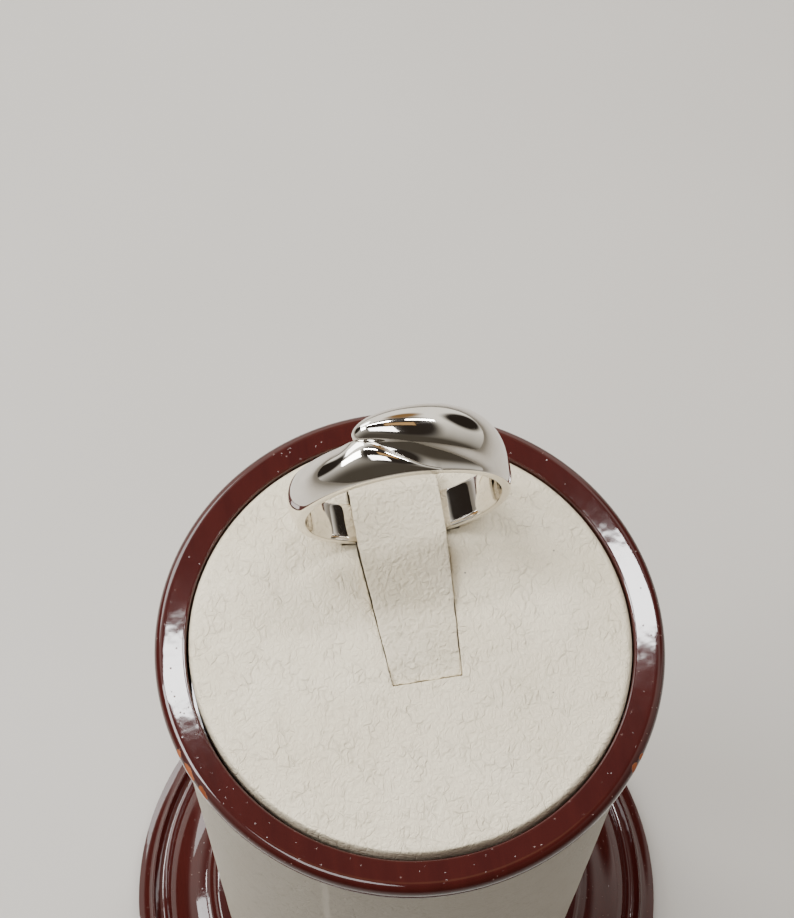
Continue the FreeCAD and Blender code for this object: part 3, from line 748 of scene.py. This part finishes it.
class RINGSTAND_OT_pad(bpy.types.Operator):
    """Stretches a crowned leatherette skin over the pad, with the tongue's window cut in it"""
    bl_idname = "ringstand.pad"
    bl_label = "Leatherette pad"

    def execute(self, context):
        settings = context.scene.stand_sizes
        pad_crown = in_mm(settings.pad_crown)
        mesh_data = bmesh.new()
        bmesh.ops.create_grid(mesh_data, x_segments=120, y_segments=120, size=1.0)
        for vert in mesh_data.verts:
            x, y = vert.co.x, vert.co.y
            # A square sheet drawn in to a disc without a pole
            vert.co = (SHOULDER_R * x * math.sqrt(1 - y * y / 2),
                       SHOULDER_R * y * math.sqrt(1 - x * x / 2), 0)
        for (x, y), (nx, ny) in cut_lines():
            geometry = mesh_data.verts[:] + mesh_data.edges[:] + mesh_data.faces[:]
            bmesh.ops.bisect_plane(mesh_data, geom=geometry, dist=0.004, plane_co=(x, y, 0),
                                   plane_no=Vector((nx, ny, 0)).normalized())
        inner = [face for face in mesh_data.faces if in_window(*face.calc_center_median().xy)]
        bmesh.ops.delete(mesh_data, geom=inner, context="FACES")
        outer = [edge for edge in mesh_data.edges
                 if edge.is_boundary
                 and all(vert.co.xy.length > SHOULDER_R - 0.01 for vert in edge.verts)]
        for vert in mesh_data.verts:
            vert.co.z = RIM_TOP + pad_height(vert.co.x, vert.co.y, pad_crown)
        edge_z = pad_crown - SHOULDER_DROP
        side_r = PAD_R + 0.12
        path = [(mixed(SHOULDER_R, side_r, math.sin(a)), edge_z - EDGE_DROP * (1 - math.cos(a)))
                for a in (math.pi / 2 * step / EDGE_STEPS for step in range(1, EDGE_STEPS + 1))]
        floor = PAD_LOW.z - RIM_TOP
        path += [(side_r, floor + 0.15), (side_r - 0.15, floor), (side_r - UNDER_REACH, floor)]
        for radius, height in path:
            made = bmesh.ops.extrude_edge_only(mesh_data, edges=outer)["geom"]
            outer = [item for item in made
                     if isinstance(item, bmesh.types.BMEdge) and item.is_boundary]
            fresh = [item for item in made if isinstance(item, bmesh.types.BMVert)]
            for vert in fresh:
                flat = vert.co.xy.normalized()
                # Gathered over the edge in shallow folds, and drawn in most at the near left
                drawn = eased(-0.8 * flat.y - 0.35 * flat.x, 0.0, 0.9)
                gather = (0.04 + 0.10 * drawn) * wobble(flat.x * 20, flat.y * 20, 6.0, 7.0)
                gather -= 0.05 + 0.34 * drawn
                settle = (radius - SHOULDER_R) / (side_r - SHOULDER_R)
                here = radius + gather * min(1.0, max(0.0, settle))
                lift = pad_height(flat.x * SHOULDER_R, flat.y * SHOULDER_R, pad_crown) - edge_z
                lift *= max(0.0, 1 - max(0.0, edge_z - height) / EDGE_DROP)
                sunk = (edge_z - height) * 0.9 * drawn if height > floor + 0.5 else 0.0
                vert.co = (flat.x * here, flat.y * here, RIM_TOP + height - sunk + lift)
        bmesh.ops.recalc_face_normals(mesh_data, faces=mesh_data.faces)
        top_face = max(mesh_data.faces, key=lambda face: face.calc_center_median().z)
        if top_face.normal.z < 0:
            bmesh.ops.reverse_faces(mesh_data, faces=mesh_data.faces)
        finish = context.scene.stand_finish
        skin = grained_leatherette(
            "pad_leatherette_skin", finish.leatherette, finish.leatherette_shade,
            crease_size=0.9, crease_depth=0.075, grain=0.45, grain_depth=0.08)
        pad = placed(mesh_data, "pad_skin", "stand", skin)
        wall = pad.modifiers.new("skin", "SOLIDIFY")
        wall.thickness = settings.skin
        wall.offset = -1.0
        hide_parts("pad_leatherette")
        return {"FINISHED"}


BEND_START = 4.4          # where the flat part ends, behind the ring's near edge
TONGUE_LENGTH = 14.42     # from the ring's near edge to the free end
CORE_HALF = 3.3           # half-width of the card strip under the tongue
CORE_THICKNESS = 0.4
BORE_CLEARANCE = 0.05     # between the card's corners and the bore
FLAT_SHARE = 0.8          # share of the tongue's rows on its flat part
BEND_PULL = 1.3           # how far the curve to the fold runs on straight at each end
KERF = 0.08               # gap that the knife left round the tongue


def tongue_line(fraction, settings, ring):
    """Point (y, z) on the tongue's upper face, from its free end at 0 to its fold at 1."""
    bore_r = in_mm(ring.bore) / 2
    corner = -math.sqrt(bore_r ** 2 - CORE_HALF ** 2)
    top = corner + BORE_CLEARANCE + CORE_THICKNESS + in_mm(settings.flap)

    def seated(along):
        # A point on the flat part, along the lean from below the ring's centre
        y = RING_CENTRE.y + along * math.cos(LEAN) - top * math.sin(LEAN)
        z = RING_CENTRE.z + along * math.sin(LEAN) + top * math.cos(LEAN)
        return Vector((y, z))

    if fraction <= FLAT_SHARE:
        return seated(mixed(-TONGUE_LENGTH, BEND_START, fraction / FLAT_SHARE))
    t = (fraction - FLAT_SHARE) / (1 - FLAT_SHARE)
    start = seated(BEND_START)
    end = Vector((FOLD.y, FOLD.z))
    slope = Vector((math.cos(LEAN), math.sin(LEAN))) * BEND_PULL
    poles = (start, start + slope, end - Vector((BEND_PULL, 0)), end)
    weights = ((1 - t) ** 3, 3 * t * (1 - t) ** 2, 3 * t * t * (1 - t), t ** 3)
    return sum((pole * weight for pole, weight in zip(poles, weights)), Vector((0, 0)))


class RINGSTAND_OT_tongue(bpy.types.Operator):
    """Bends a tapered flap of leatherette from the pad's fold over the ring's band"""
    bl_idname = "ringstand.tongue"
    bl_label = "Tongue"

    def execute(self, context):
        settings = context.scene.stand_sizes
        ring = context.scene.ring_sizes
        mesh_data = bmesh.new()
        bmesh.ops.create_grid(mesh_data, x_segments=30, y_segments=110, size=1.0)
        for vert in mesh_data.verts:
            across, along = vert.co.x, (vert.co.y + 1) / 2
            y, z = tongue_line(along, settings, ring)
            half = window_half(y) - KERF
            # The knife wandered: the long edges and the end are a little uneven
            edge = abs(across) ** 6
            wander = (0.10 * wobble(y, across * 3, 2.6, 11.0)
                      + 0.05 * wobble(y, across * 3, 0.7, 14.0))
            x = across * (half + edge * wander)
            ragged = 0.16 * wobble(x, 0, 1.3, 12.0) + 0.08 * wobble(x, 0, 0.4, 15.0)
            y += (1 - eased(along, 0.0, 0.03)) * ragged
            # Edges curl down a touch, the free end sinks, and the middle is softly uneven
            z -= 0.10 * across ** 4 * eased(along, 0.0, 0.2) * (1 - eased(along, 0.6, 0.72))
            z -= 0.16 * (1 - eased(along, 0.0, 0.13))
            z += 0.035 * wobble(x, y, 3.2, 13.0) * (1 - eased(along, 0.9, 1.0))
            vert.co = (TONGUE_X + x, y, z)
        bmesh.ops.recalc_face_normals(mesh_data, faces=mesh_data.faces)
        if mesh_data.faces[0].normal.z < 0:
            bmesh.ops.reverse_faces(mesh_data, faces=mesh_data.faces)
        finish = context.scene.stand_finish
        skin = grained_leatherette(
            "tongue_leatherette_skin", finish.tongue, finish.tongue_shade,
            crease_size=0.85, crease_depth=0.05, grain=0.42, grain_depth=0.15, specks=False)
        flap = placed(mesh_data, "tongue_flap", None, skin)
        wall = flap.modifiers.new("thickness", "SOLIDIFY")
        wall.thickness = settings.flap
        wall.offset = -1.0
        edge = flap.modifiers.new("cut edge", "BEVEL")
        edge.width = 0.09 * MM
        edge.segments = 2
        edge.limit_method = "ANGLE"
        edge.angle_limit = math.radians(60)
        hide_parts("tongue_cover")
        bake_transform(flap)
        return {"FINISHED"}


# ------------------------------------------------------------------ turned parts and column

SPIGOT_R = 17.95          # the parts of the rim and the base that sit in the tube
CUP_R = 21.0              # the rim's inner wall
CUP_DEPTH = 3.4
RIM_DEPTH = 4.2
ROUND_STEPS = 256         # faces round a turned piece


class RINGSTAND_OT_rim(bpy.types.Operator):
    """Turns the lacquered cup that holds the pad"""
    bl_idname = "ringstand.rim"
    bl_label = "Top rim"

    def execute(self, context):
        rim_r = RIM_HIGH.x
        floor = RIM_TOP - CUP_DEPTH
        low = RIM_TOP - RIM_DEPTH
        mesh_data = bmesh.new()
        points = [
            (0, floor), (CUP_R, floor),
            # Inner edge, and two points that keep the top flat where the corners are rounded
            (CUP_R, RIM_TOP), (CUP_R + 0.32, RIM_TOP), (rim_r - 1.1, RIM_TOP), (rim_r, RIM_TOP),
            # Side, drawn in below to a narrow groove and a small bead
            (rim_r, RIM_TOP - 1.5), (rim_r - 0.72, low + 0.85), (rim_r - 0.78, low + 0.62),
            (rim_r - 0.5, low + 0.42), (rim_r - 0.5, low + 0.16), (rim_r - 0.72, low),
            # Spigot that goes into the tube
            (SPIGOT_R, low), (SPIGOT_R, RIM_LOW.z), (0, RIM_LOW.z)]
        verts = profile_points(mesh_data, points)
        rounded(mesh_data, [verts[5]], 0.95, 12)
        inner_edge = [vert for vert in mesh_data.verts
                      if abs(vert.co.x - CUP_R) < 0.01 and abs(vert.co.z - RIM_TOP) < 0.01]
        rounded(mesh_data, inner_edge, 0.22, 4)
        lower = [vert for vert in mesh_data.verts
                 if vert.co.x > rim_r - 0.8 and vert.co.z < low + 0.9]
        rounded(mesh_data, lower, 0.06, 3)
        spun(mesh_data, ROUND_STEPS)
        rim = placed(mesh_data, "rim_cup", "stand",
                     mahogany_lacquer("mahogany_lacquer_rim", True), smooth_angle=50)
        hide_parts("top_rim")
        return {"FINISHED"}


class RINGSTAND_OT_base(bpy.types.Operator):
    """Turns the lacquered foot with its bead and cove"""
    bl_idname = "ringstand.base"
    bl_label = "Base"

    def execute(self, context):
        foot = BASE_LOW.z
        base_r = BASE_HIGH.x
        shelf_z = WRAP_LOW.z
        brow = (base_r, 3.2)
        bead_out, bead_in = (33.2, 6.25), (31.2, 6.45)
        cove_top = (25.2, 9.8)
        points = [(0, foot), (base_r - 0.6, foot), (base_r, foot + 0.6), brow]
        points += arc_points(brow, bead_out, 0.75, 10)
        points += arc_points(bead_out, bead_in, 0.95, 12)
        points += arc_points(bead_in, cove_top, -0.75, 12)
        # Shelf that the column stands on, and the spigot inside it
        points += [(24.4, shelf_z), (SPIGOT_R, shelf_z), (SPIGOT_R, BASE_HIGH.z),
                   (0, BASE_HIGH.z)]
        mesh_data = bmesh.new()
        verts = profile_points(mesh_data, points)
        rounded(mesh_data, [verts[-4]], 0.35, 4)
        spun(mesh_data, ROUND_STEPS)
        base = placed(mesh_data, "base_foot", "stand",
                      mahogany_lacquer("mahogany_lacquer_base", False), smooth_angle=50)
        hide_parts("base_plinth")
        return {"FINISHED"}


COLUMN_ROWS = 60
COLUMN_STEPS = 360
SEAM = math.radians(-120)
LAP = 0.34                # how far the lapping edge stands proud
TUCK = 0.25               # how far both ends of the wrap are drawn in
TUCK_HEIGHT = 1.2


class RINGSTAND_OT_column(bpy.types.Operator):
    """Wraps the column in leatherette with one upright lap seam"""
    bl_idname = "ringstand.column"
    bl_label = "Column wrap"

    def execute(self, context):
        outer_r = WRAP_HIGH.x
        inner_r = outer_r - in_mm(context.scene.stand_sizes.skin)
        heights = [mixed(WRAP_LOW.z, WRAP_HIGH.z, row / COLUMN_ROWS)
                   for row in range(COLUMN_ROWS + 1)]
        mesh_data = bmesh.new()
        points = [(outer_r, z) for z in heights] + [(inner_r, WRAP_HIGH.z), (inner_r, WRAP_LOW.z)]
        verts = profile_points(mesh_data, points)
        mesh_data.edges.new((verts[-1], verts[0]))
        spun(mesh_data, COLUMN_STEPS)
        for vert in mesh_data.verts:
            radius = vert.co.xy.length
            if radius < inner_r + 0.1:
                continue
            turn = (math.atan2(vert.co.y, vert.co.x) - SEAM) % (2 * math.pi)
            # The lapping edge stands proud, then the skin settles back over a few millimetres
            arc = turn * outer_r
            lift = LAP * (1 - eased(arc, 0.5, 9.0)) * eased(arc, 0.0, 0.15)
            uneven = 0.05 * wobble(turn * 9, vert.co.z, 9.0, 21.0)
            tuck = TUCK * (1 - eased(vert.co.z, WRAP_LOW.z, WRAP_LOW.z + TUCK_HEIGHT))
            tuck += TUCK * eased(vert.co.z, WRAP_HIGH.z - TUCK_HEIGHT, WRAP_HIGH.z)
            reach = (radius + lift + uneven - tuck) / radius
            vert.co.x *= reach
            vert.co.y *= reach
        bmesh.ops.recalc_face_normals(mesh_data, faces=mesh_data.faces)
        finish = context.scene.stand_finish
        # Painted shade: the column's white leatherette takes the darker column colour for the shade
        # under the rim
        skin = grained_leatherette(
            "column_leatherette_painted_shade", finish.column, finish.column,
            crease_size=1.5, crease_depth=0.05, grain=0.55, grain_depth=0.05)
        wrap = placed(mesh_data, "column_skin", "stand", skin, smooth_angle=45)
        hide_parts("column_wrap")
        return {"FINISHED"}


class RINGSTAND_OT_felt(bpy.types.Operator):
    """Cuts the felt disc under the base"""
    bl_idname = "ringstand.felt"
    bl_label = "Base felt"

    def execute(self, context):
        radius = FELT_HIGH.x
        thickness = FELT_HIGH.z - FELT_LOW.z
        mesh_data = bmesh.new()
        bmesh.ops.create_cone(mesh_data, cap_ends=True, segments=240, radius1=radius,
                              radius2=radius, depth=thickness,
                              matrix=Matrix.Translation((0, 0, thickness / 2)))
        rims = [edge for edge in mesh_data.edges
                if abs(edge.verts[0].co.z - edge.verts[1].co.z) < 0.001]
        bmesh.ops.bevel(mesh_data, geom=rims, offset=0.2, offset_type="OFFSET", segments=3,
                        profile=0.5, affect="EDGES", material=-1)
        for vert in mesh_data.verts:
            # Scissor-cut edge with a little fluff
            flat = vert.co.xy.normalized()
            fluff = 1 + 0.0012 * wobble(flat.x * 60, flat.y * 60, 1.0, 31.0) - 0.001
            vert.co.x *= fluff
            vert.co.y *= fluff
        felt = placed(mesh_data, "felt_disc", "stand", felted_wool(), smooth_angle=50)
        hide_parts("base_felt")
        return {"FINISHED"}


class RINGSTAND_OT_inside(bpy.types.Operator):
    """Gives the pieces inside the stand and under the tongue their finishes"""
    bl_idname = "ringstand.inside"
    bl_label = "Inner pieces"

    def execute(self, context):
        card = simple_finish("grey_board", "#9C8B72", "#7D6D57", 0.8, 0.05, 0.85)
        foam = simple_finish("polyurethane_foam", "#E6E0CF", "#CFC7B2", 0.5, 0.2, 0.95)
        zinc = simple_finish("zinc_plated_steel", "#C9C6B4", "#A39E88", 0.6, 0.01, 0.28,
                             metallic=1.0)
        beech = turned_wood()
        finishes = {
            "tongue_core": card, "pad_board": card, "column_tube": card, "pad_foam": foam,
            "column_top_plug": beech, "column_bottom_plug": beech, "rim_screws": zinc,
            "base_screws": zinc,
        }
        for name, material in finishes.items():
            for place in frame["nodes"][name].material_slots:
                place.material = material
        return {"FINISHED"}


# ------------------------------------------------------------------ stage

CAMERA_AZIMUTH = 11.3     # degrees
CAMERA_PITCH = 64.7
CAMERA_ROLL = 1.75
CAMERA_DISTANCE = 194.4
CAMERA_TARGET = Vector((1.9, 18.5, RIM_TOP))
CAMERA_LENS = 78.1
SENSOR = 36.0
FLOOR_HALF = 12.0         # metres, so that the floor runs past every view

# Softboxes: name, place and target in millimetres, width, height, watts, colour
PAD_CENTRE = (0, 0, RIM_TOP)
SOFTBOXES = (
    ("window_left", (-165, 215, 702), (-165, 215, 0), 270, 36, 1.6, "#FFFFFF"),
    ("window_right", (250, 221, 702), (250, 221, 0), 290, 47, 2.2, "#FFFFFF"),
    ("skylight", (-420, 520, 520), PAD_CENTRE, 420, 300, 2.6, "#FFFFFF"),
    ("key", (-235, 40, 350), PAD_CENTRE, 130, 130, 0.8, "#FFFFFF"),
    ("overhead", (-170, -170, 702), (-170, -170, 0), 250, 200, 1.2, "#FFFFFF"),
    # A dim amber card overhead, for the warm streaks between light and dark in the silver
    ("amber_card", (30, 40, 702), (30, 40, 0), 260, 110, 0.10, "#C29A66"))

# Two dim doorways level with the ring and a tan panel behind it, so that the silver has darks to
# show: direction, cosines where each starts and is full, colour
OPENINGS = (((-0.92, 0.35, 0.16), 0.88, 0.95, "#26211D"),
            ((0.84, 0.42, 0.34), 0.91, 0.965, "#26211D"),
            ((0.14, 0.68, 0.70), 0.94, 0.98, "#80623E"))
WORLD_STRENGTH = 1.35


def camera_matrix():
    """Camera that looks down at the pad from the tongue's free end."""
    turn = math.radians(CAMERA_AZIMUTH)
    pitch = math.radians(CAMERA_PITCH)
    roll = math.radians(CAMERA_ROLL)
    ahead = Vector((math.cos(pitch) * math.sin(turn), math.cos(pitch) * math.cos(turn),
                    -math.sin(pitch)))
    right = Vector((math.cos(turn), -math.sin(turn), 0))
    up = right.cross(ahead)
    tilted_right = right * math.cos(roll) + up * math.sin(roll)
    tilted_up = up * math.cos(roll) - right * math.sin(roll)
    place = (CAMERA_TARGET - ahead * CAMERA_DISTANCE) * MM
    axes = Matrix((tilted_right, tilted_up, -ahead)).transposed().to_4x4()
    return Matrix.Translation(place) @ axes


def softbox(name, place, target, width, height, watts, colour):
    """Area light at a place in millimetres, facing a target."""
    data = bpy.data.lights.new(name, "AREA")
    data.shape = "RECTANGLE"
    data.size = width * MM
    data.size_y = height * MM
    data.energy = watts
    data.color = linear(colour)[:3]
    light = bpy.data.objects.new(name, data)
    ahead = (Vector(target) - Vector(place)).normalized()
    turned = Vector((0, 0, -1)).rotation_difference(ahead).to_matrix().to_4x4()
    light.matrix_world = Matrix.Translation(Vector(place) * MM) @ turned
    bpy.context.scene.collection.objects.link(light)


class RINGSTAND_OT_stage(bpy.types.Operator):
    """Lays the paper floor and sets the softboxes and the camera"""
    bl_idname = "ringstand.stage"
    bl_label = "Stage"

    def execute(self, context):
        mesh_data = bmesh.new()
        bmesh.ops.create_grid(mesh_data, x_segments=1, y_segments=1, size=FLOOR_HALF)
        mesh = bpy.data.meshes.new("paper_floor")
        mesh_data.to_mesh(mesh)
        mesh_data.free()
        mesh.materials.append(backdrop_paper())
        floor = bpy.data.objects.new("paper_floor", mesh)
        context.scene.collection.objects.link(floor)

        # Bright walls and a dim ceiling, so that level polish stays dark between the softboxes
        world = bpy.data.worlds.new("studio")
        world.use_nodes = True
        tree = world.node_tree
        direction = add(tree, "TexCoord", output="Generated")
        level = add(tree, "SeparateXYZ", {"Vector": direction}, output="Y")
        height = add(tree, "SeparateXYZ", {"Vector": direction}, output="Z")
        facing_back = add(tree, "MapRange", {"Value": level, "From Min": -0.7, "From Max": 0.5},
                          interpolation_type="SMOOTHSTEP")
        walls = add(tree, "ValToRGB", {"Fac": facing_back},
                    stops=((0.0, "#443F38"), (1.0, "#FFFAF0")))
        ceiling = add(tree, "MapRange", {"Value": height, "From Min": 0.74, "From Max": 0.88},
                      interpolation_type="SMOOTHSTEP")
        tint = add(tree, "Mix", {"Factor": ceiling, FIRST: walls, SECOND: linear("#2B2622")},
                   output=MIX_COLOUR, data_type="RGBA")
        for toward, start, full, shade in OPENINGS:
            facing = add(tree, "VectorMath", {0: direction, 1: toward}, output="Value",
                         operation="DOT_PRODUCT")
            opening = add(tree, "MapRange", {"Value": facing, "From Min": start,
                                             "From Max": full},
                          interpolation_type="SMOOTHSTEP")
            tint = add(tree, "Mix", {"Factor": opening, FIRST: tint, SECOND: linear(shade)},
                       output=MIX_COLOUR, data_type="RGBA")
        tree.links.new(tint, tree.nodes["Background"].inputs["Color"])
        tree.nodes["Background"].inputs["Strength"].default_value = WORLD_STRENGTH
        context.scene.world = world

        for box in SOFTBOXES:
            softbox(*box)

        camera_data = bpy.data.cameras.new("camera")
        camera_data.sensor_width = SENSOR
        camera_data.lens = CAMERA_LENS
        camera_data.clip_start = 0.01
        camera_data.clip_end = 20
        camera = bpy.data.objects.new("camera", camera_data)
        camera.matrix_world = camera_matrix()
        context.scene.collection.objects.link(camera)
        context.scene.camera = camera
        return {"FINISHED"}


# ------------------------------------------------------------------ panel and registration

OPERATORS = (RINGSTAND_OT_stage, RINGSTAND_OT_ring, RINGSTAND_OT_pad, RINGSTAND_OT_tongue,
             RINGSTAND_OT_rim, RINGSTAND_OT_column, RINGSTAND_OT_base, RINGSTAND_OT_felt,
             RINGSTAND_OT_inside)
GROUPS = {"ring_sizes": RingSettings, "ring_finish": RingFinish, "stand_sizes": StandSettings,
          "stand_finish": StandFinish}


class RINGSTAND_PT_panel(bpy.types.Panel):
    bl_idname = "RINGSTAND_PT_panel"
    bl_label = "Ring stand"
    bl_space_type = "VIEW_3D"
    bl_region_type = "UI"
    bl_category = "Ring stand"

    def draw(self, context):
        for name, group in GROUPS.items():
            for field in group.__annotations__:
                self.layout.prop(getattr(context.scene, name), field)
        for operator in OPERATORS:
            self.layout.operator(operator.bl_idname)


def register():
    for group in GROUPS.values():
        bpy.utils.register_class(group)
    for name, group in GROUPS.items():
        setattr(bpy.types.Scene, name, bpy.props.PointerProperty(type=group))
    for operator in OPERATORS:
        bpy.utils.register_class(operator)
    bpy.utils.register_class(RINGSTAND_PT_panel)


def unregister():
    bpy.utils.unregister_class(RINGSTAND_PT_panel)
    for operator in reversed(OPERATORS):
        bpy.utils.unregister_class(operator)
    for name, group in GROUPS.items():
        delattr(bpy.types.Scene, name)
        bpy.utils.unregister_class(group)


def main():
    register()
    bpy.ops.ringstand.stage()
    bpy.ops.ringstand.ring()
    bpy.ops.ringstand.pad()
    bpy.ops.ringstand.tongue()
    bpy.ops.ringstand.rim()
    bpy.ops.ringstand.column()
    bpy.ops.ringstand.base()
    bpy.ops.ringstand.felt()
    bpy.ops.ringstand.inside()


if __name__ == "__main__":
    main()
